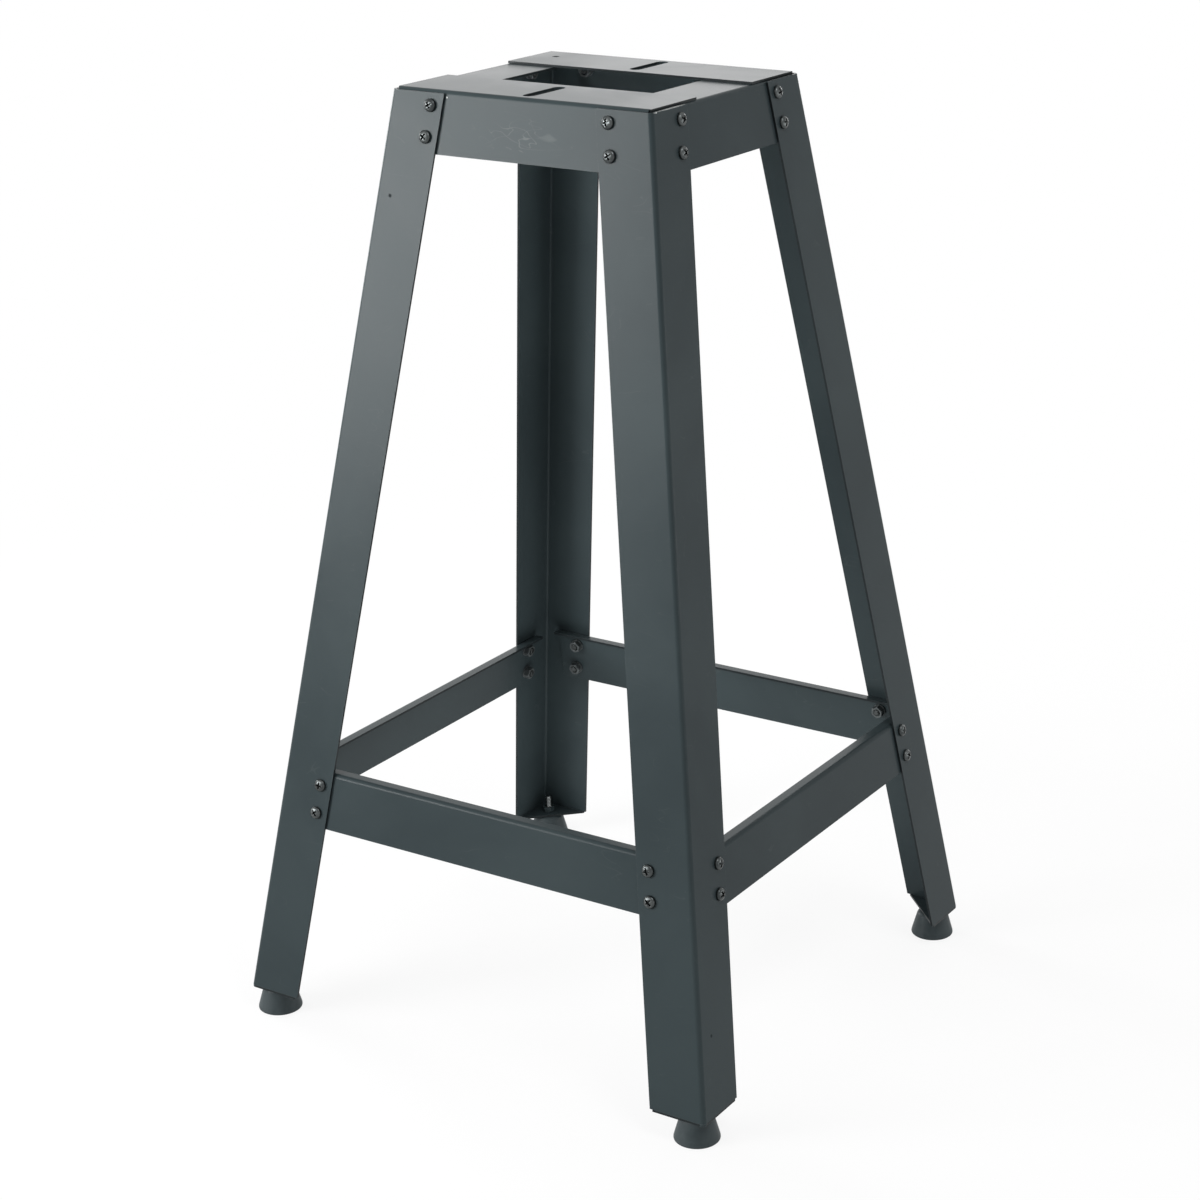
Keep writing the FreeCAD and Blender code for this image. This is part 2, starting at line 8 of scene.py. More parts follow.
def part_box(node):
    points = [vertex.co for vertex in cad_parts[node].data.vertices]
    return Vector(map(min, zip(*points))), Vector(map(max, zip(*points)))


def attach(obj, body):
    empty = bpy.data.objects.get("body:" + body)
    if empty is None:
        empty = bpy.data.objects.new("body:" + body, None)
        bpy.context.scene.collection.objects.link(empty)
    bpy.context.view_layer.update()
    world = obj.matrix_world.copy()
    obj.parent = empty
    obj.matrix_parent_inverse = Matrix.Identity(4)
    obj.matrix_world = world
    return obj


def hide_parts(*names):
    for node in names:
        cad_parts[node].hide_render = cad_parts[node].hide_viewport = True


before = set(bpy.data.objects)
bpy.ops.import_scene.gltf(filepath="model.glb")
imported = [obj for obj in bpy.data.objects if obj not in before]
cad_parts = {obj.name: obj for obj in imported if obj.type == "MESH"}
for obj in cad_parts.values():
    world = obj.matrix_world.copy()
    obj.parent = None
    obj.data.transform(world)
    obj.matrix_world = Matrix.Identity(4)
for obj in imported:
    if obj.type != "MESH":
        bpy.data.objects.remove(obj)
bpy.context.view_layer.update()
print("frame loaded:", len(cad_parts), "nodes")

mm = 0.001
# points closer than this count as one
closeness = 0.001 * mm
# how far a cutter reaches past what it cuts
past = 1 * mm
corners = ("front_left", "front_right", "rear_left", "rear_right")
upright = Vector((0, 0, 1))


def selectOnly(*pieces):
    if bpy.context.object and bpy.context.object.mode != "OBJECT":
        bpy.ops.object.mode_set(mode="OBJECT")
    bpy.ops.object.select_all(action="DESELECT")
    for piece in pieces:
        piece.select_set(True)
    bpy.context.view_layer.objects.active = pieces[0]


def editMesh(piece, chosen="SELECT"):
    selectOnly(piece)
    bpy.ops.object.mode_set(mode="EDIT")
    bpy.ops.mesh.select_mode(type="VERT")
    bpy.ops.mesh.select_all(action=chosen)


def objectMode():
    bpy.ops.object.mode_set(mode="OBJECT")


def selectLowest(piece):
    # in edit mode, the points at the piece's lowest height
    editMesh(piece, "DESELECT")
    objectMode()
    lowest = min(vertex.co.z for vertex in piece.data.vertices)
    for vertex in piece.data.vertices:
        vertex.select = vertex.co.z < lowest + closeness
    bpy.ops.object.mode_set(mode="EDIT")


def applyModifier(piece, kind, **settings):
    selectOnly(piece)
    modifier = piece.modifiers.new(kind.lower(), kind)
    for name, value in settings.items():
        setattr(modifier, name, value)
    bpy.ops.object.modifier_apply(modifier=modifier.name)


def cutWith(piece, cutter, operation="DIFFERENCE"):
    applyModifier(piece, "BOOLEAN", object=cutter, operation=operation, solver="EXACT")
    bpy.data.objects.remove(cutter)


def softenEdges(piece, width, segments=2, angle=32):
    # rounds every edge sharper than the angle, then smooths with flat faces kept flat
    applyModifier(
        piece, "BEVEL", width=width, segments=segments, limit_method="ANGLE",
        angle_limit=radians(angle), use_clamp_overlap=True, miter_outer="MITER_ARC",
    )
    smoothPiece(piece, angle)


def smoothPiece(piece, angle=32):
    selectOnly(piece)
    bpy.ops.object.shade_smooth_by_angle(angle=radians(angle))
    applyModifier(piece, "WEIGHTED_NORMAL", keep_sharp=True, weight=60)


def copyPiece(piece, name, place):
    twin = bpy.data.objects.new(name, piece.data.copy())
    bpy.context.scene.collection.objects.link(twin)
    twin.data.transform(place)
    return twin


def joinPieces(pieces, name):
    selectOnly(*pieces)
    bpy.ops.object.join()
    joined = bpy.context.object
    joined.name = name
    joined.data.name = name
    return joined


nodeTidy = {"merge": 0.002 * mm, "flatAngle": 1.5}


def copyNode(nodeName, name):
    # a node's mesh in a piece of its own, its triangles merged into flat faces
    piece = bpy.data.objects.new(name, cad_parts[nodeName].data.copy())
    bpy.context.scene.collection.objects.link(piece)
    editMesh(piece)
    bpy.ops.mesh.remove_doubles(threshold=nodeTidy["merge"])
    bpy.ops.mesh.customdata_custom_splitnormals_clear()
    bpy.ops.mesh.dissolve_limited(angle_limit=radians(nodeTidy["flatAngle"]))
    objectMode()
    return piece


def finishPiece(piece, material, body, slotName, *nodes):
    piece.data.materials.clear()
    piece.data.materials.append(material)
    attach(piece, body)
    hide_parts(*nodes)


def turnRings(name, rings, segments):
    # a closed round solid from (radius, height) rings, each one pushed out of the last
    radius, height = rings[0]
    bpy.ops.mesh.primitive_circle_add(
        vertices=segments, radius=radius, fill_type="NGON", location=(0, 0, height)
    )
    piece = bpy.context.object
    piece.name = name
    selectOnly(piece)
    bpy.ops.object.transform_apply(location=True, rotation=True, scale=True)
    editMesh(piece)
    for nextRadius, nextHeight in rings[1:]:
        bpy.ops.mesh.extrude_region_move()
        grow = nextRadius / radius
        bpy.ops.transform.resize(value=(grow, grow, 1), center_override=(0, 0, height))
        bpy.ops.transform.translate(value=(0, 0, nextHeight - height))
        radius, height = nextRadius, nextHeight
    bpy.ops.mesh.select_all(action="SELECT")
    bpy.ops.mesh.remove_doubles(threshold=closeness)
    bpy.ops.mesh.normals_make_consistent(inside=False)
    objectMode()
    return piece


threadShape = {
    # half a ridge's height in pitches, and its steps round one turn
    "halfShare": 0.48,
    "steps": 24,
    "merge": 0.0001 * mm,
}


def threadRidge(name, radius, depth, pitch, low, high):
    # one helical ridge, triangular in section, closed at both ends
    half = pitch * threadShape["halfShare"]
    bpy.ops.mesh.primitive_circle_add(vertices=3, radius=half, fill_type="NOTHING")
    ridge = bpy.context.object
    ridge.name = name
    profile = ((radius - depth, 0, -half), (radius - depth, 0, half), (radius, 0, 0))
    for vertex, place in zip(ridge.data.vertices, profile):
        vertex.co = Vector(place) + upright * (low + half)
    turns = int((high - low) / pitch) - 1
    steps = threadShape["steps"]
    applyModifier(
        ridge, "SCREW", axis="Z", steps=steps, render_steps=steps, screw_offset=pitch,
        iterations=turns, use_merge_vertices=True, merge_threshold=threadShape["merge"],
    )
    editMesh(ridge, "DESELECT")
    bpy.ops.mesh.select_non_manifold()
    bpy.ops.mesh.edge_face_add()
    bpy.ops.mesh.select_all(action="SELECT")
    bpy.ops.mesh.normals_make_consistent(inside=False)
    objectMode()
    return ridge


def leaningFace(nodeName, direction, alike=0.95):
    # a point on the node's largest face that looks about that way, and the face's normal
    facing = [
        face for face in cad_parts[nodeName].data.polygons
        if face.normal.dot(direction) > alike
    ]
    largest = max(facing, key=lambda face: face.area)
    return largest.center.copy(), largest.normal.copy()


def looseCentres(nodeName):
    # the middle of each separate solid in a node, always in the same order
    piece = copyNode(nodeName, "loose_copy")
    editMesh(piece)
    bpy.ops.mesh.separate(type="LOOSE")
    objectMode()
    parts = list(bpy.context.selected_objects)
    centres = []
    for part in parts:
        places = [vertex.co for vertex in part.data.vertices]
        low = Vector(min(place[i] for place in places) for i in range(3))
        high = Vector(max(place[i] for place in places) for i in range(3))
        centres.append((low + high) / 2)
        bpy.data.objects.remove(part)
    return sorted(centres, key=lambda c: (round(c.z, 3), c.x, c.y))


# each side's name, with a leg that has a face there and the way that face looks
sides = {
    "front": ("leg_front_right", Vector((0, -1, 0))),
    "rear": ("leg_rear_right", Vector((0, 1, 0))),
    "left": ("leg_front_left", Vector((-1, 0, 0))),
    "right": ("leg_front_right", Vector((1, 0, 0))),
}
sideFaces = {side: leaningFace(*face) for side, face in sides.items()}


def outward(side, spot, depth, turn):
    # from a piece that stands on z = 0 to its seat, depth below the legs' outer face
    onFace, normal = sideFaces[side]
    seat = spot - normal * (spot - onFace).dot(normal) - normal * depth
    aim = normal.to_track_quat("Z", "Y").to_matrix().to_4x4()
    return Matrix.Translation(seat) @ aim @ Matrix.Rotation(turn, 4, "Z")


def newGroup(name, inputs, outputs):
    group = bpy.data.node_groups.new(name, "ShaderNodeTree")
    for socketName, kind, default in inputs:
        socket = group.interface.new_socket(
            name=socketName, in_out="INPUT", socket_type=kind
        )
        socket.default_value = default
    for socketName, kind in outputs:
        group.interface.new_socket(name=socketName, in_out="OUTPUT", socket_type=kind)
    entry = group.nodes.new("NodeGroupInput")
    leave = group.nodes.new("NodeGroupOutput")
    return group, entry, leave


def addNode(tree, kind, inputs=None, **settings):
    node = tree.nodes.new(kind)
    for name, value in settings.items():
        setattr(node, name, value)
    for name, value in (inputs or {}).items():
        if isinstance(value, bpy.types.NodeSocket):
            tree.links.new(value, node.inputs[name])
        else:
            node.inputs[name].default_value = value
    return node


def calc(tree, operation, first, second=0.0):
    node = addNode(tree, "ShaderNodeMath", {0: first, 1: second}, operation=operation)
    return node.outputs[0]


def spread(tree, value, low, high, start=0.0, end=1.0):
    # maps low..high to start..end with a soft run
    node = addNode(
        tree, "ShaderNodeMapRange",
        {"Value": value, "From Min": low, "From Max": high, "To Min": start, "To Max": end},
        interpolation_type="SMOOTHSTEP",
    )
    return node.outputs["Result"]


def objectPlace(tree):
    return addNode(tree, "ShaderNodeTexCoord").outputs["Object"]


def noise(tree, place, scale, detail=2.0, roughness=0.5, distortion=0.0):
    node = addNode(
        tree, "ShaderNodeTexNoise",
        {"Vector": place, "Scale": scale, "Detail": detail, "Roughness": roughness,
         "Distortion": distortion},
    )
    return node.outputs[0]


grainShape = {
    "hills": {"detail": 2.0, "roughness": 0.45},
    "finerScale": 3.1,
    "finerShare": 0.35,
    "drift": {"detail": 4.0, "roughness": 0.55, "distortion": 0.6},
    "driftFrom": 0.3,
    "driftTo": 0.7,
}


def makeGrainGroup():
    # the fine hills of a sprayed or moulded skin, and a slow drift of tone
    shape = grainShape
    group, entry, leave = newGroup(
        "surface_grain",
        [("Grain Scale", "NodeSocketFloat", 700.0), ("Drift Scale", "NodeSocketFloat", 7.0)],
        [("Height", "NodeSocketFloat"), ("Drift", "NodeSocketFloat")],
    )
    place = objectPlace(group)
    scale = entry.outputs["Grain Scale"]
    hills = noise(group, place, scale, **shape["hills"])
    finer = noise(group, place, calc(group, "MULTIPLY", scale, shape["finerScale"]))
    finer = calc(group, "MULTIPLY", finer, shape["finerShare"])
    group.links.new(calc(group, "ADD", hills, finer), leave.inputs["Height"])
    drift = noise(group, place, entry.outputs["Drift Scale"], **shape["drift"])
    drift = spread(group, drift, shape["driftFrom"], shape["driftTo"])
    group.links.new(drift, leave.inputs["Drift"])
    return group


edgeShape = {
    # how alike the rounded and the flat normal are where the edge mark starts and where it is
    # full
    "edgeMarkFrom": 0.97,
    "edgeMarkFull": 0.78,
    "breakup": {"detail": 4.0, "roughness": 0.6},
    "breakupFrom": 0.35,
    "breakupTo": 0.7,
}


def makeEdgeGroup():
    # 1 along sharp edges, broken up by noise, 0 on the flat: the paint's painted edge
    # highlight and the zinc's edge wear
    shape = edgeShape
    group, entry, leave = newGroup(
        "edge_wear_and_highlight",
        [("Radius", "NodeSocketFloat", 0.6 * mm), ("Breakup", "NodeSocketFloat", 180.0)],
        [("Mask", "NodeSocketFloat")],
    )
    rounded = addNode(
        group, "ShaderNodeBevel", {"Radius": entry.outputs["Radius"]}, samples=6
    )
    flat = addNode(group, "ShaderNodeNewGeometry").outputs["Normal"]
    turn = addNode(
        group, "ShaderNodeVectorMath", {0: rounded.outputs[0], 1: flat},
        operation="DOT_PRODUCT",
    )
    edge = spread(group, turn.outputs["Value"], shape["edgeMarkFrom"], shape["edgeMarkFull"])
    broken = noise(group, objectPlace(group), entry.outputs["Breakup"], **shape["breakup"])
    broken = spread(group, broken, shape["breakupFrom"], shape["breakupTo"])
    group.links.new(calc(group, "MULTIPLY", edge, broken), leave.inputs["Mask"])
    return group


def makeRecessShadeGroup():
    # painted shade: 1 in narrow recesses and corners, where the ambient occlusion finds
    # shade, 0 in the open
    group, entry, leave = newGroup(
        "recess_painted_shade",
        [("Reach", "NodeSocketFloat", 1.5 * mm), ("Start", "NodeSocketFloat", 0.55),
         ("Full", "NodeSocketFloat", 0.2)],
        [("Mask", "NodeSocketFloat")],
    )
    clear = addNode(
        group, "ShaderNodeAmbientOcclusion", {"Distance": entry.outputs["Reach"]}, samples=8
    )
    mask = spread(group, clear.outputs["AO"], entry.outputs["Start"], entry.outputs["Full"])
    group.links.new(mask, leave.inputs["Mask"])
    return group


scratchShape = {
    # two layers of lines: how far each leans, its stretch and its offset
    "layers": (
        (-0.12, (3.4, 1.0, 0.75), (0.0, 0.0, 0.0)),
        (0.3, (2.2, 1.0, 0.6), (0.37, 0.0, 0.11)),
    ),
    "band": {"detail": 1.0, "roughness": 0.4, "distortion": 1.1},
    "bandMiddle": 0.5,
    "patchScale": 1.7,
    "patchShare": 0.8,
}


def makeScratchGroup():
    # fine curved hairlines, mostly level: thin bands of a warped noise, kept in patches
    shape = scratchShape
    group, entry, leave = newGroup(
        "hairline_scratches",
        [("Scale", "NodeSocketFloat", 30.0), ("Width", "NodeSocketFloat", 0.004),
         ("Cover", "NodeSocketFloat", 0.5)],
        [("Mask", "NodeSocketFloat")],
    )
    place = objectPlace(group)
    scale = entry.outputs["Scale"]
    lines = None
    for lean, stretch, offset in shape["layers"]:
        laid = addNode(
            group, "ShaderNodeMapping",
            {"Vector": place, "Location": offset, "Rotation": (0, lean, 0), "Scale": stretch},
            vector_type="TEXTURE",
        )
        band = noise(group, laid.outputs[0], scale, **shape["band"])
        away = calc(group, "ABSOLUTE", calc(group, "SUBTRACT", band, shape["bandMiddle"]))
        thin = addNode(
            group, "ShaderNodeMapRange",
            {"Value": away, "From Min": 0.0, "From Max": entry.outputs["Width"],
             "To Min": 1.0, "To Max": 0.0},
        ).outputs["Result"]
        lines = thin if lines is None else calc(group, "MAXIMUM", lines, thin)
    patch = noise(group, place, calc(group, "MULTIPLY", scale, shape["patchScale"]))
    edge = calc(group, "SUBTRACT", 1.0, entry.outputs["Cover"])
    edge = calc(group, "MULTIPLY", edge, shape["patchShare"])
    kept = calc(group, "GREATER_THAN", patch, edge)
    group.links.new(calc(group, "MULTIPLY", lines, kept), leave.inputs["Mask"])
    return group


# the outline's least share of the reach, to which noise adds up to 1
patchShape = {"leastReach": 0.55}


def makePatchGroup():
    # 1 inside a ragged ellipsoid round a place, fading to 0 over its outer part
    group, entry, leave = newGroup(
        "ragged_patch",
        [("Place", "NodeSocketVector", (0.0, 0.0, 0.0)),
         ("Reach", "NodeSocketVector", (mm, mm, mm)),
         ("Ragged Scale", "NodeSocketFloat", 900.0), ("Inner", "NodeSocketFloat", 0.75)],
        [("Mask", "NodeSocketFloat")],
    )
    place = objectPlace(group)
    gap = addNode(
        group, "ShaderNodeVectorMath", {0: place, 1: entry.outputs["Place"]},
        operation="SUBTRACT",
    ).outputs["Vector"]
    scaled = addNode(
        group, "ShaderNodeVectorMath", {0: gap, 1: entry.outputs["Reach"]},
        operation="DIVIDE",
    ).outputs["Vector"]
    away = addNode(group, "ShaderNodeVectorMath", {0: scaled}, operation="LENGTH")
    ragged = noise(group, place, entry.outputs["Ragged Scale"])
    ragged = calc(group, "ADD", patchShape["leastReach"], ragged)
    share = calc(group, "DIVIDE", away.outputs["Value"], ragged)
    mask = spread(group, share, 1.0, entry.outputs["Inner"])
    group.links.new(mask, leave.inputs["Mask"])
    return group


grainGroup = makeGrainGroup()
edgeGroup = makeEdgeGroup()
scratchGroup = makeScratchGroup()
patchGroup = makePatchGroup()
recessShadeGroup = makeRecessShadeGroup()
print("node groups built")


def placeGroup(tree, group, inputs=None):
    return addNode(tree, "ShaderNodeGroup", inputs, node_tree=group)


def newMaterial(name):
    material = bpy.data.materials.new(name)
    material.use_nodes = True
    tree = material.node_tree
    shader = tree.nodes["Principled BSDF"]
    return material, tree, shader


def mixColour(tree, mask, first, second):
    node = addNode(tree, "ShaderNodeMix", {0: mask, 6: first, 7: second}, data_type="RGBA")
    return node.outputs[2]


def startFinish(name, look):
    # a material with its grain, and the tone and roughness that drift with it
    material, tree, shader = newMaterial(name)
    for inputName, value in look["shader"].items():
        shader.inputs[inputName].default_value = value
    grain = placeGroup(tree, grainGroup, look["grain"])
    drift = grain.outputs["Drift"]
    tone = mixColour(tree, drift, look["deepTone"], look["lightTone"])
    rough = spread(tree, drift, 0.0, 1.0, look["roughFrom"], look["roughTo"])
    bump = addNode(
        tree, "ShaderNodeBump",
        {"Height": grain.outputs["Height"], "Distance": look["grainDepth"]},
    )
    tree.links.new(bump.outputs["Normal"], shader.inputs["Normal"])
    return material, tree, shader, tone, rough


def endFinish(tree, shader, tone, rough):
    tree.links.new(tone, shader.inputs["Base Color"])
    tree.links.new(rough, shader.inputs["Roughness"])


def makePlainFinish(name, look):
    material, tree, shader, tone, rough = startFinish(name, look)
    endFinish(tree, shader, tone, rough)
    return material


paintLook = {
    "deepTone": (0.024, 0.033, 0.036, 1),
    "lightTone": (0.030, 0.041, 0.044, 1),
    "roughFrom": 0.28,
    "roughTo": 0.34,
    "shader": {"IOR": 1.18},
    "grain": {"Grain Scale": 650.0, "Drift Scale": 6.0},
    "grainDepth": 0.02 * mm,
    # painted highlight: the edges lightened, standing in for the light they catch
    "edgeHighlightTone": (0.15, 0.165, 0.168, 1),
    "edgeHighlightShare": 0.55,
    # painted shade: the sheet's cut faces darkened near black, standing in for the shade in
    # the gaps beside them
    "cutFaceShadeTone": (0.009, 0.011, 0.012, 1),
    "cutFaceShadeShare": 0.8,
    # hairlines all over
    "scratchTone": (0.16, 0.17, 0.17, 1),
    "hairlines": {"Scale": 26.0, "Width": 0.003, "Cover": 0.3},
    "hairlineShare": 0.07,
    # where hands and packing have rubbed the front skirt
    "rubbed": {
        "Place": (0.004, -0.114, 0.767),
        "Reach": (0.052, 0.02, 0.018),
        "Ragged Scale": 60.0,
        "Inner": 0.2,
    },
    "scribble": {"Scale": 58.0, "Width": 0.010, "Cover": 0.95},
    "scribbleShare": 0.3,
    # dark specks: place and size
    "speckTone": (0.012, 0.014, 0.015, 1),
    "speckShare": 0.8,
    "speckInner": 0.75,
    "specks": (
        ((-0.0966, 0.0820, 0.7970), 3.4 * mm),
        ((-0.1187, -0.1243, 0.7122), 1.6 * mm),
        ((0.2218, -0.1995, 0.0889), 1.6 * mm),
    ),
    # bare steel chips, and a painted highlight strip along the right front leg's top rim:
    # place, reach and how much of it shows
    "bareSteelAndHighlightTone": (0.55, 0.57, 0.56, 1),
    "chipAndHighlightInner": 0.4,
    "chipsAndRimHighlight": (
        ((0.1214, -0.1062, 0.7946), (1.0 * mm, 1.1 * mm, 0.8 * mm), 1.0),
        ((0.1216, -0.1086, 0.7948), (0.8 * mm, 1.3 * mm, 0.5 * mm), 0.6),
        ((-0.0690, -0.1105, 0.7918), (0.8 * mm, 0.8 * mm, 0.8 * mm), 1.0),
        # painted highlight: a long strip of bare-steel tone on the leg's top rim, standing in
        # for the light it catches
        ((0.1206, -0.0840, 0.7950), (1.7 * mm, 27 * mm, 0.7 * mm), 0.6),
    ),
}


def placeSpot(tree, place, reach, inner, share):
    spot = placeGroup(tree, patchGroup, {"Place": place, "Reach": reach, "Inner": inner})
    return calc(tree, "MULTIPLY", spot.outputs["Mask"], share)


def makePaint():
    look = paintLook
    material, tree, shader, tone, rough = startFinish("satin_charcoal_paint", look)
    handling = placeGroup(tree, scratchGroup, look["hairlines"])
    faint = calc(tree, "MULTIPLY", handling.outputs["Mask"], look["hairlineShare"])
    tone = mixColour(tree, faint, tone, look["scratchTone"])
    rubbed = placeGroup(tree, patchGroup, look["rubbed"])
    scribble = placeGroup(tree, scratchGroup, look["scribble"])
    lines = calc(tree, "MULTIPLY", scribble.outputs["Mask"], rubbed.outputs["Mask"])
    lines = calc(tree, "MULTIPLY", lines, look["scribbleShare"])
    tone = mixColour(tree, lines, tone, look["scratchTone"])
    # painted highlight: a light colour along the sharp edges
    edge = placeGroup(tree, edgeGroup)
    edgeHighlight = calc(tree, "MULTIPLY", edge.outputs["Mask"], look["edgeHighlightShare"])
    tone = mixColour(tree, edgeHighlight, tone, look["edgeHighlightTone"])
    # painted shade on the sheet's cut faces
    cut = addNode(tree, "ShaderNodeAttribute", attribute_name="cut_face").outputs["Fac"]
    cut = calc(tree, "MULTIPLY", cut, look["cutFaceShadeShare"])
    tone = mixColour(tree, cut, tone, look["cutFaceShadeTone"])
    for place, size in look["specks"]:
        reach = (size, size, size)
        speck = placeSpot(tree, place, reach, look["speckInner"], look["speckShare"])
        tone = mixColour(tree, speck, tone, look["speckTone"])
        rough = calc(tree, "MAXIMUM", rough, speck)
    # bare steel chips, and the painted highlight on the leg's top rim
    for place, reach, share in look["chipsAndRimHighlight"]:
        chipAndHighlight = placeSpot(tree, place, reach, look["chipAndHighlightInner"], share)
        tone = mixColour(tree, chipAndHighlight, tone, look["bareSteelAndHighlightTone"])
    endFinish(tree, shader, tone, rough)
    return material


zincSkin = {
    "grain": {"Grain Scale": 2400.0, "Drift Scale": 160.0},
    "grainDepth": 0.006 * mm,
    "wear": {"Radius": 0.25 * mm, "Breakup": 700.0},
    "wornShare": 0.7,
}
zincLook = {
    "dark_zinc_plate": {
        "deepTone": (0.042, 0.047, 0.048, 1),
        "lightTone": (0.088, 0.095, 0.095, 1),
        "wornTone": (0.24, 0.255, 0.255, 1),
        # the colour of the painted shade in recesses
        "recessShadeTone": (0.008, 0.009, 0.009, 1),
        "roughFrom": 0.28,
        "roughTo": 0.38,
        "shader": {"Metallic": 1.0},
        **zincSkin,
    },
    "dull_nut_plate": {
        "deepTone": (0.050, 0.058, 0.060, 1),
        "lightTone": (0.075, 0.085, 0.087, 1),
        "wornTone": (0.11, 0.12, 0.12, 1),
        # the colour of the painted shade in recesses
        "recessShadeTone": (0.025, 0.029, 0.030, 1),
        "roughFrom": 0.44,
        "roughTo": 0.54,
        "shader": {"Metallic": 0.4},
        **zincSkin,
    },
}


def makeDarkZinc(name):
    look = zincLook[name]
    material, tree, shader, tone, rough = startFinish(name, look)
    edge = placeGroup(tree, edgeGroup, look["wear"])
    worn = calc(tree, "MULTIPLY", edge.outputs["Mask"], look["wornShare"])
    tone = mixColour(tree, worn, tone, look["wornTone"])
    # painted shade: darker colour in the recesses and corners that the occlusion finds
    recessShade = placeGroup(tree, recessShadeGroup)
    tone = mixColour(tree, recessShade.outputs["Mask"], tone, look["recessShadeTone"])
    endFinish(tree, shader, tone, rough)
    return material


brightLook = {
    "deepTone": (0.24, 0.255, 0.255, 1),
    "lightTone": (0.36, 0.38, 0.38, 1),
    "roughFrom": 0.38,
    "roughTo": 0.26,
    "shader": {"Metallic": 1.0},
    "grain": {"Grain Scale": 1800.0, "Drift Scale": 140.0},
    "grainDepth": 0.005 * mm,
}
rubberLook = {
    "deepTone": (0.028, 0.037, 0.040, 1),
    "lightTone": (0.036, 0.046, 0.049, 1),
    "roughFrom": 0.42,
    "roughTo": 0.52,
    "shader": {"IOR": 1.24},
    "grain": {"Grain Scale": 1500.0, "Drift Scale": 60.0},
    "grainDepth": 0.012 * mm,
}

paint = makePaint()
darkZinc = makeDarkZinc("dark_zinc_plate")
dullNut = makeDarkZinc("dull_nut_plate")
brightZinc = makePlainFinish("bright_zinc_plate", brightLook)
rubber = makePlainFinish("moulded_black_rubber", rubberLook)
print("finishes made")


sheetLook = {
    "thick": 2 * mm,
    "edgeRound": 0.45 * mm,
    "segments": 3,
    # a cut face: its edges' least angle, its width in sheets, how much of its edge is sharp
    "cutAngle": 50,
    "cutWidth": 1.1,
    "cutEdged": 0.9,
}


def markCutFaces(piece):
    # writes 1 on the sheet's cut faces: as narrow as the sheet is thick, sharp on both sides
    look = sheetLook
    editMesh(piece)
    bpy.ops.mesh.select_mode(type="EDGE")
    bpy.ops.mesh.select_all(action="DESELECT")
    bpy.ops.mesh.edges_select_sharp(sharpness=radians(look["cutAngle"]))
    objectMode()
    mesh = piece.data
    sharp = {edge.key for edge in mesh.edges if edge.select}
    cut = mesh.attributes.new("cut_face", "FLOAT", "FACE")
    for face in mesh.polygons:
        lengths = {
            key: (mesh.vertices[key[0]].co - mesh.vertices[key[1]].co).length
            for key in face.edge_keys
        }
        around = sum(lengths.values())
        edged = sum(length for key, length in lengths.items() if key in sharp)
        narrow = 2 * face.area / around < look["cutWidth"] * look["thick"]
        marked = narrow and edged > look["cutEdged"] * around
        cut.data[face.index].value = 1.0 if marked else 0.0


def dressSheet(nodeName):
    piece = copyNode(nodeName, f"painted_{nodeName}")
    markCutFaces(piece)
    softenEdges(piece, sheetLook["edgeRound"], sheetLook["segments"])
    finishPiece(piece, paint, "frame", "frame_paint", nodeName)


for corner in corners:
    dressSheet(f"leg_{corner}")
    dressSheet(f"foot_plate_{corner}")
for side in sides:
    dressSheet(f"top_rail_{side}")
    dressSheet(f"lower_rail_{side}")
print("sheet metal dressed")


screwSize = {
    "segments": 40,
    "headRadius": 5.3 * mm,
    "headRim": 1.2 * mm,
    "headHeight": 3.8 * mm,
    "headCorner": 0.35 * mm,
    "domeSteps": 7,
    "domeFullness": 0.8,
    "domeCap": 0.4 * mm,
    "shank": 3.0 * mm,
    "root": 2.55 * mm,
    "length": 12 * mm,
    "pitch": 1 * mm,
    "tip": 0.5 * mm,
    "threadFrom": 7.4 * mm,
    "threadRunout": 0.4 * mm,
    "threadTip": 0.4 * mm,
    "recessSpan": 7.0 * mm,
    "recessWidth": 1.6 * mm,
    "recessDepth": 2.9 * mm,
    # along and across an arm: how much larger it is above the head, and its share of that
    # at the recess's floor
    "recessFlare": (1.15, 1.1),
    "recessTaper": (0.42, 0.75),
    "edgeRound": 0.1 * mm,
    "edgeAngle": 38,
}


def makeRecessCutter(turn):
    # one arm pair of the cross, narrower and shorter towards its floor
    size = screwSize
    top = size["headHeight"] + past
    bottom = size["headHeight"] - size["recessDepth"]
    bpy.ops.mesh.primitive_cube_add(size=1, location=(0, 0, (top + bottom) / 2))
    cutter = bpy.context.object
    flareAlong, flareAcross = size["recessFlare"]
    cutter.scale = (
        size["recessSpan"] * flareAlong, size["recessWidth"] * flareAcross, top - bottom
    )
    cutter.rotation_euler = (0, 0, turn)
    selectOnly(cutter)
    bpy.ops.object.transform_apply(location=True, rotation=True, scale=True)
    selectLowest(cutter)
    along = Vector((cos(turn), sin(turn), 0))
    taperAlong, taperAcross = size["recessTaper"]
    shrink = [taperAlong if abs(along[i]) > 0.5 else taperAcross for i in range(2)]
    bpy.ops.transform.resize(value=(*shrink, 1), center_override=(0, 0, bottom))
    objectMode()
    return cutter


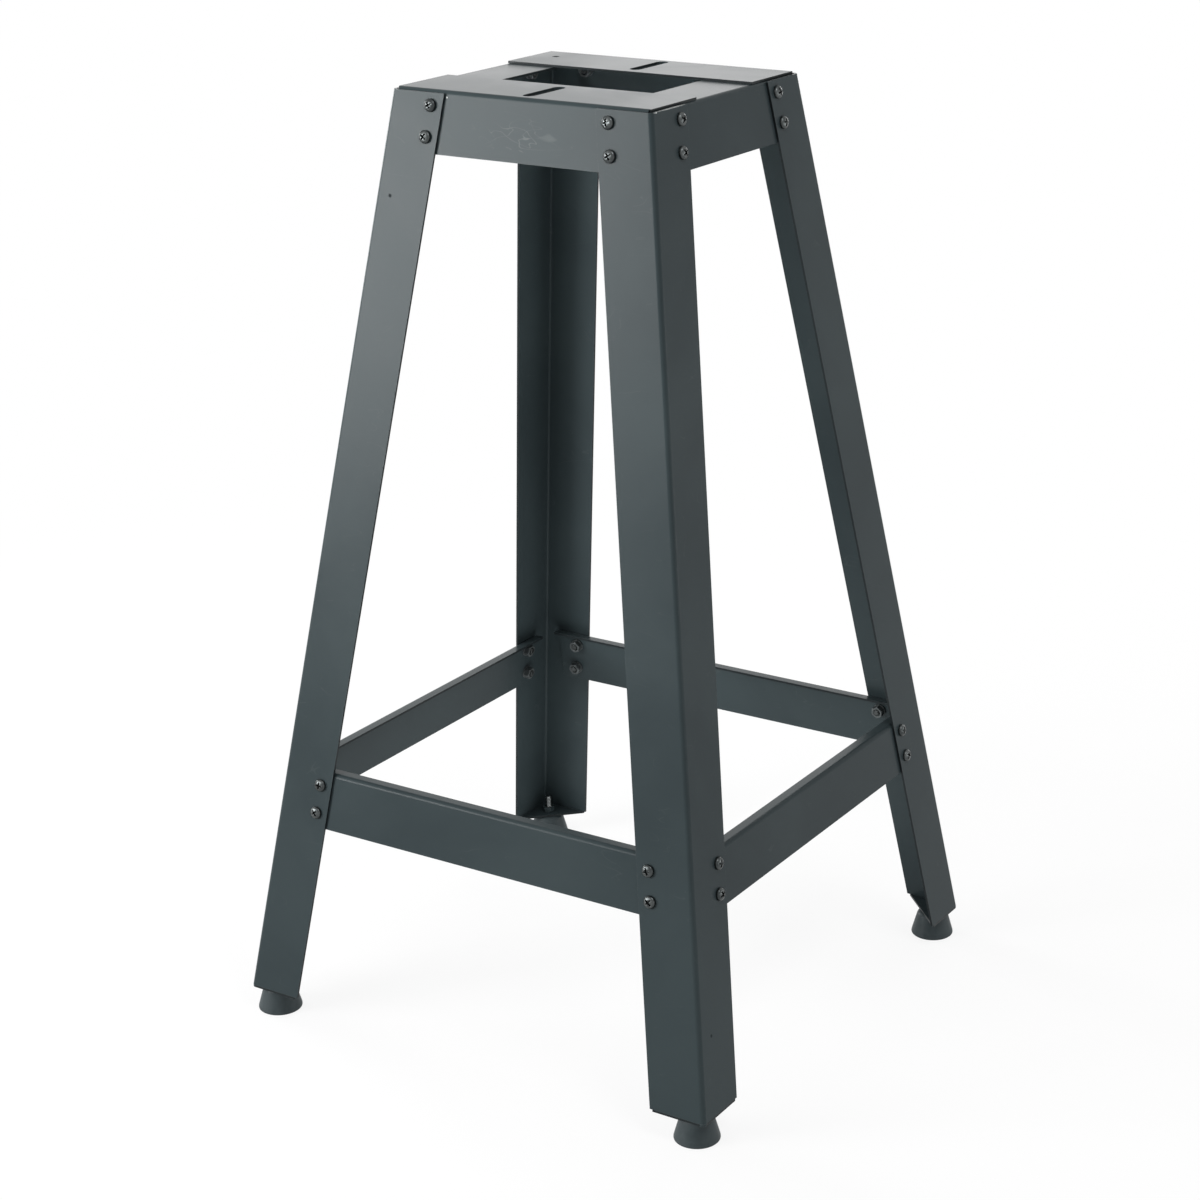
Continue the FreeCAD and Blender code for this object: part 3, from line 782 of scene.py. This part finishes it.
def makeScrew():
    # the head stands on z = 0, the shank hangs below it
    size = screwSize
    root, length = size["root"], size["length"]
    rings = [
        (root - size["tip"], -length),
        (root, -length + size["tip"]),
        (root, -size["threadFrom"]),
        (size["shank"], -size["threadFrom"] + size["threadRunout"]),
        (size["shank"], 0),
        (size["headRadius"] - size["headCorner"], 0),
        (size["headRadius"], size["headCorner"]),
        (size["headRadius"], size["headRim"]),
    ]
    rise = size["headHeight"] - size["headRim"]
    steps = size["domeSteps"]
    for i in range(1, steps):
        lean = i / steps * pi / 2
        radius = size["headRadius"] * cos(lean) ** size["domeFullness"]
        rings.append((radius, size["headRim"] + rise * sin(lean)))
    rings.append((size["domeCap"], size["headHeight"]))
    screw = turnRings("screw_pattern", rings, size["segments"])
    for turn in (0, pi / 2):
        cutWith(screw, makeRecessCutter(turn))
    softenEdges(screw, size["edgeRound"], angle=size["edgeAngle"])
    ridge = threadRidge(
        "screw_thread", size["shank"], size["shank"] - root, size["pitch"],
        -length + size["threadTip"], -size["threadFrom"],
    )
    return joinPieces([screw, ridge], "screw_pattern")


washerSize = {
    "segments": 48,
    "rim": 6 * mm,
    "bore": 3.3 * mm,
    "thick": 1.6 * mm,
    "edgeRound": 0.2 * mm,
}


def makeWasher():
    size = washerSize
    rim, bore, thick = size["rim"], size["bore"], size["thick"]
    washer = turnRings("washer_pattern", [(rim, 0), (rim, thick)], size["segments"])
    hole = turnRings("washer_hole", [(bore, -past), (bore, thick + past)], size["segments"])
    cutWith(washer, hole)
    softenEdges(washer, size["edgeRound"])
    return washer


nutSize = {
    "flats": 10 * mm,
    "height": 5 * mm,
    "bore": 3.05 * mm,
    "boreSegments": 48,
    "mouth": 0.5 * mm,
    # the lens that rounds the corners off: its radius at the ends in half flats and at its
    # widest in corner radii, and how far from the ends it is widest
    "lensEnd": 0.97,
    "lensWide": 1.01,
    "chamfer": 0.62 * mm,
    "lensSegments": 72,
    "edgeRound": 0.12 * mm,
    "edgeAngle": 24,
}


def makeNut():
    size = nutSize
    point = size["flats"] / sqrt(3)  # a hexagon's corner radius
    height, chamfer = size["height"], size["chamfer"]
    nut = turnRings("nut_pattern", [(point, 0), (point, height)], 6)
    end = size["flats"] / 2 * size["lensEnd"]
    wide = point * size["lensWide"]
    lensRings = [(end, 0), (wide, chamfer), (wide, height - chamfer), (end, height)]
    cutWith(nut, turnRings("nut_lens", lensRings, size["lensSegments"]), "INTERSECT")
    bore, mouth = size["bore"], size["mouth"]
    holeRings = [
        (bore + 2 * mouth, -mouth),
        (bore, mouth),
        (bore, height - mouth),
        (bore + 2 * mouth, height + mouth),
    ]
    cutWith(nut, turnRings("nut_hole", holeRings, size["boreSegments"]))
    softenEdges(nut, size["edgeRound"], angle=size["edgeAngle"])
    return nut


screwPattern = makeScrew()
washerPattern = makeWasher()
nutPattern = makeNut()
print("fasteners modelled")

# how far each fastener and foot happens to be turned
chance = random.Random(7)


def seatGroup(pattern, nodeName, side, depth, material):
    copies = []
    for i, spot in enumerate(looseCentres(nodeName)):
        place = outward(side, spot, depth, chance.uniform(0, pi))
        copies.append(copyPiece(pattern, f"copy_{i}", place))
    piece = joinPieces(copies, f"dressed_{nodeName}")
    finishPiece(piece, material, "frame", "dark_zinc", nodeName)


# a leg and a rail lie between the screw's head and the washer
washerDepth = 2 * sheetLook["thick"] + washerSize["thick"]
nutDepth = washerDepth + nutSize["height"]
for rail in ("top_rail", "lower_rail"):
    for side in sides:
        seatGroup(screwPattern, f"{rail}_{side}_screws", side, 0, darkZinc)
        seatGroup(washerPattern, f"{rail}_{side}_washers", side, washerDepth, dullNut)
        seatGroup(nutPattern, f"{rail}_{side}_nuts", side, nutDepth, dullNut)
print("fasteners seated")


footSize = {
    "studSegments": 32,
    "stud": 3 * mm,
    "root": 2.55 * mm,
    "pitch": 1 * mm,
    "studTop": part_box("foot_stud_front_left")[1].z,
    "studHead": 7 * mm,
    "headLow": 6 * mm,
    "headHigh": 9 * mm,
    "tip": 0.8 * mm,
    # how far under the pad's top the plain stud ends and the thread starts
    "plainUnder": 3 * mm,
    "threadUnder": 2.6 * mm,
    "padSegments": 72,
    "padBase": 19 * mm,
    "padTop": 13.3 * mm,
    "padRim": 2.4 * mm,
    "padRimInset": 0.1 * mm,
    "padHeight": 22 * mm,
    "padAngle": 50,
    "shoulder": 4.4 * mm,
    "shoulderSteps": 7,
    # the rounded lower edge: how far in from the base, and how high
    "padEdge": ((1.3 * mm, 0), (0.6 * mm, 0.18 * mm), (0.15 * mm, 0.6 * mm), (0, 1.2 * mm)),
    # the dip round the stud: how far out from the stud, and how deep
    "padDip": ((2.2 * mm, 0), (1.4 * mm, 0.5 * mm), (0.1 * mm, 0.6 * mm)),
}


def makeStud():
    size = footSize
    rings = [
        (size["studHead"], size["headLow"]),
        (size["studHead"], size["headHigh"]),
        (size["stud"], size["headHigh"]),
        (size["stud"], size["padHeight"] - size["plainUnder"]),
        (size["root"], size["padHeight"] - size["threadUnder"]),
        (size["root"], size["studTop"] - size["tip"]),
        (size["root"] - size["tip"], size["studTop"]),
    ]
    stud = turnRings("stud_core", rings, size["studSegments"])
    smoothPiece(stud)
    ridge = threadRidge(
        "stud_thread", size["stud"], size["stud"] - size["root"], size["pitch"],
        size["padHeight"] - size["threadUnder"], size["studTop"] - size["tip"] / 2,
    )
    return joinPieces([stud, ridge], "stud_pattern")


def makePad():
    size = footSize
    base, top, rim = size["padBase"], size["padTop"], size["padRim"]
    height, bend = size["padHeight"], size["shoulder"]
    rings = [(base - inset, level) for inset, level in size["padEdge"]]
    rings.append((base - size["padRimInset"], rim))
    # the rounded shoulder: its centre lies bend inside the cone and under the top
    lean = atan2(base - top, height - rim)
    centreHeight = height - bend
    coneRadius = top + (base - top) * bend / (height - rim)
    centreRadius = coneRadius - bend / cos(lean)
    for i in range(size["shoulderSteps"] + 1):
        turn = lean + (pi / 2 - lean) * i / size["shoulderSteps"]
        rings.append((centreRadius + bend * cos(turn), centreHeight + bend * sin(turn)))
    rings += [(size["stud"] + outset, height - drop) for outset, drop in size["padDip"]]
    pad = turnRings("pad_pattern", rings, size["padSegments"])
    smoothPiece(pad, size["padAngle"])
    return pad


studPattern = makeStud()
padPattern = makePad()
for corner in corners:
    low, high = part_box(f"foot_pad_{corner}")
    axis = Vector(((low.x + high.x) / 2, (low.y + high.y) / 2, 0))
    turn = Matrix.Rotation(chance.uniform(0, pi), 4, "Z")
    seat = Matrix.Translation(axis) @ turn
    stud = copyPiece(studPattern, f"threaded_stud_{corner}", seat)
    finishPiece(stud, brightZinc, f"foot_{corner}", "bright_zinc", f"foot_stud_{corner}")
    pad = copyPiece(padPattern, f"rubber_foot_{corner}", seat)
    finishPiece(pad, rubber, f"foot_{corner}", "rubber", f"foot_pad_{corner}")
    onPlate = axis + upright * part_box(f"foot_nut_{corner}")[0].z
    nut = copyPiece(nutPattern, f"weld_nut_{corner}", Matrix.Translation(onPlate) @ turn)
    finishPiece(nut, paint, "frame", "frame_paint", f"foot_nut_{corner}")
for pattern in (screwPattern, washerPattern, nutPattern, studPattern, padPattern):
    bpy.data.objects.remove(pattern)
print("feet made")


studio = {
    "floorSize": 120,
    "floorTone": (0.86, 0.86, 0.86, 1),
    # where the floor starts and ends turning white, and how white it is by the stand
    "fadeStart": 0.3,
    "fadeEnd": 1.6,
    "veil": 0.85,
    "ambient": 0.44,
    # each lamp: place, size, power, what it is aimed at and the angle of its grid
    "lamps": {
        "key_softbox": ((-1.6, -1.8, 0.9), 1.0, 12.4, (0, 0, 0.8), 70),
        "top_softbox": ((-1.5, 2.3, 1.25), 1.4, 7.2, (0, 0, 0.5), 180),
        "crown_softbox": ((1.3, -0.55, 2.5), 0.7, 16, (0, 0, 0.7), 180),
        "front_softbox": ((-1.0, -2.4, 1.6), 1.2, 24, (0, 0, 0.5), 180),
        "left_softbox": ((-2.4, 0.3, 1.0), 1.0, 36, (0, 0, 0.5), 180),
        "back_softbox": ((-0.3, 2.6, 0.8), 1.2, 18, (0, 0, 0.5), 180),
        "rear_softbox": ((2.3, 1.3, 0.3), 1.0, 14, (0, 0, 0.3), 180),
        "right_softbox": ((2.6, -0.2, 0.3), 0.9, 6, (0, 0, 0.3), 180),
    },
    # small lamps on the floor that light the inside of the stand, unseen themselves
    "cards": {
        "leg_card": ((0, 0, 0.02), 0.3, 0.7, (0, 0, 1), 180),
        "top_card": ((0, 0, 0.03), 0.15, 0.4, (0, 0, 1), 33),
    },
}


def makeFloor():
    bpy.ops.mesh.primitive_plane_add(size=studio["floorSize"], location=(0, 0, 0))
    floor = bpy.context.object
    floor.name = "floor"
    material, tree, shader = newMaterial("pale_floor")
    shader.inputs["Base Color"].default_value = studio["floorTone"]
    shader.inputs["Roughness"].default_value = 1.0
    shader.inputs["Specular IOR Level"].default_value = 0.0
    # the floor fades into the white surroundings away from the stand
    white = addNode(tree, "ShaderNodeEmission", {"Color": (1, 1, 1, 1), "Strength": 1.0})
    reach = addNode(
        tree, "ShaderNodeVectorMath", {0: objectPlace(tree)}, operation="LENGTH"
    ).outputs["Value"]
    fade = studio["fadeStart"], studio["fadeEnd"]
    far = spread(tree, reach, *fade, studio["veil"], 1.0)
    path = addNode(tree, "ShaderNodeLightPath")
    seen = calc(tree, "MAXIMUM", path.outputs["Is Camera Ray"], path.outputs["Is Glossy Ray"])
    blend = addNode(
        tree, "ShaderNodeMixShader",
        {0: calc(tree, "MULTIPLY", far, seen), 1: shader.outputs[0], 2: white.outputs[0]},
    )
    tree.links.new(blend.outputs[0], tree.nodes["Material Output"].inputs["Surface"])
    floor.data.materials.append(material)


def makeWorld():
    world = bpy.data.worlds.new("studio")
    bpy.context.scene.world = world
    world.use_nodes = True
    tree = world.node_tree
    background = tree.nodes["Background"]
    background.inputs["Color"].default_value = (1, 1, 1, 1)
    path = addNode(tree, "ShaderNodeLightPath")
    seen = path.outputs["Is Camera Ray"]
    for ray in ("Is Glossy Ray", "Is Transmission Ray"):
        seen = calc(tree, "MAXIMUM", seen, path.outputs[ray])
    strength = addNode(
        tree, "ShaderNodeMapRange",
        {"Value": seen, "To Min": studio["ambient"], "To Max": 1.0},
    )
    tree.links.new(strength.outputs[0], background.inputs["Strength"])


def addLamp(name, place, size, power, aim, grid):
    lamp = bpy.data.lights.new(name, "AREA")
    lamp.shape = "SQUARE"
    lamp.size = size
    lamp.energy = power
    lamp.spread = radians(grid)
    holder = bpy.data.objects.new(name, lamp)
    bpy.context.scene.collection.objects.link(holder)
    holder.location = place
    holder.rotation_euler = (Vector(aim) - Vector(place)).to_track_quat("-Z", "Y").to_euler()
    return holder


cameraView = {
    "place": (1.18411, -1.79296, 1.12643),
    "azimuth": 31.604,
    "elevation": 19.731,
    "roll": -0.453,
    "lens": 79.847,
    "sensor": 36,
    "shiftX": -0.0736,
    "shiftY": -0.0039,
}


def makeCamera():
    view = cameraView
    camera = bpy.data.cameras.new("camera")
    camera.lens = view["lens"]
    camera.sensor_width = view["sensor"]
    camera.shift_x = view["shiftX"]
    camera.shift_y = view["shiftY"]
    holder = bpy.data.objects.new("camera", camera)
    bpy.context.scene.collection.objects.link(holder)
    turn, tilt = radians(view["azimuth"]), radians(view["elevation"])
    back = Vector((sin(turn) * cos(tilt), -cos(turn) * cos(tilt), sin(tilt)))
    aim = (-back).to_track_quat("-Z", "Y").to_matrix().to_4x4()
    roll = Matrix.Rotation(radians(view["roll"]), 4, "Z")
    holder.matrix_world = Matrix.Translation(view["place"]) @ aim @ roll
    bpy.context.scene.camera = holder


makeFloor()
makeWorld()
for name, settings in studio["lamps"].items():
    addLamp(name, *settings)
for name, settings in studio["cards"].items():
    card = addLamp(name, *settings)
    card.visible_camera = False
    card.visible_glossy = False
makeCamera()
bpy.context.scene.view_settings.view_transform = "Standard"
print("studio set")
